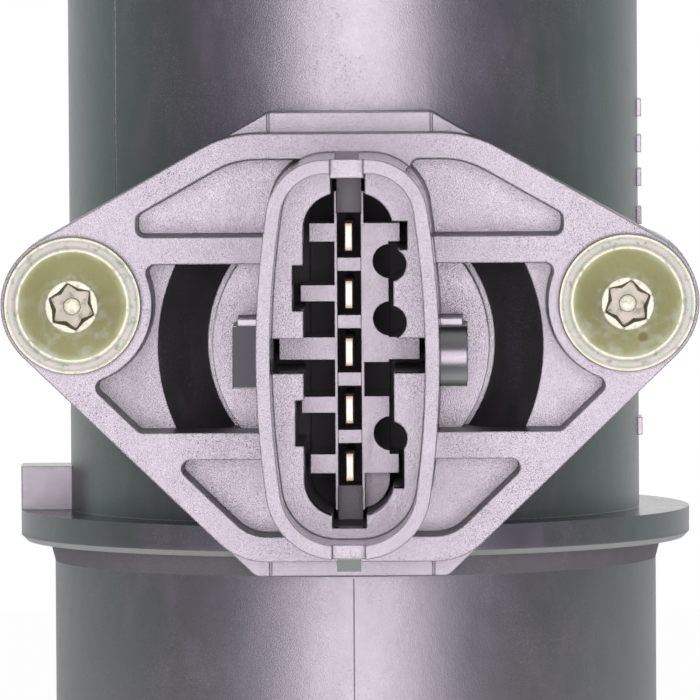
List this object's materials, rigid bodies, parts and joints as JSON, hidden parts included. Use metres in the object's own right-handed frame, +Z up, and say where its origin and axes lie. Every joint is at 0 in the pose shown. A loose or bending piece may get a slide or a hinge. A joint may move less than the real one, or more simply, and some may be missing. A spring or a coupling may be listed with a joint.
{
  "type": "mass airflow sensor",
  "caption": "Plug-in airflow sensor with an open connector shroud, screwed to a round moulded duct that clamps between intake hoses.",
  "frame": {"origin": "on the duct's axis, at the end face of the lower spigot", "axes": "+Z up along the duct's axis, -Y out of the sensor's connector, +X to its right"},
  "size_m": [0.062, 0.0923, 0.096],
  "materials": {
    "duct_plastic": "satin moulded, fine grain",
    "sensor_plastic": "satin moulded, fine grain",
    "carrier_plastic": "satin moulded",
    "seal_rubber": "matt",
    "plate_aluminium": "stamped",
    "board_laminate": "solder mask",
    "chip_epoxy": "moulded",
    "capacitor_ceramic": "ceramic",
    "element_carrier_plastic": "moulded",
    "element_silicon": "polished",
    "cover_plastic": "satin moulded",
    "thermistor_epoxy": "dipped",
    "screw_zinc": "olive zinc plated",
    "grid_plastic": "moulded",
    "retainer_steel": "spring steel",
    "terminal_metal": "tinned brass"
  },
  "bodies": {
    "root": {"base_plate": "plate_aluminium", "board_capacitors": "capacitor_ceramic", "bypass_cover": "cover_plastic", "chip_carrier": "element_carrier_plastic", "circuit_board": "board_laminate", "control_chip": "chip_epoxy", "duct_housing": "duct_plastic", "electronics_cover": "cover_plastic", "flow_grid": "grid_plastic", "grid_retaining_ring": "retainer_steel", "o_ring": "seal_rubber", "screw_left": "screw_zinc", "screw_right": "screw_zinc", "sensor_body": "sensor_plastic", "sensor_chip": "element_silicon", "terminal_1": "terminal_metal", "terminal_2": "terminal_metal", "terminal_3": "terminal_metal", "terminal_4": "terminal_metal", "terminal_5": "terminal_metal", "terminal_carrier": "carrier_plastic", "thermistor": "thermistor_epoxy"}
  },
  "joints": []
}
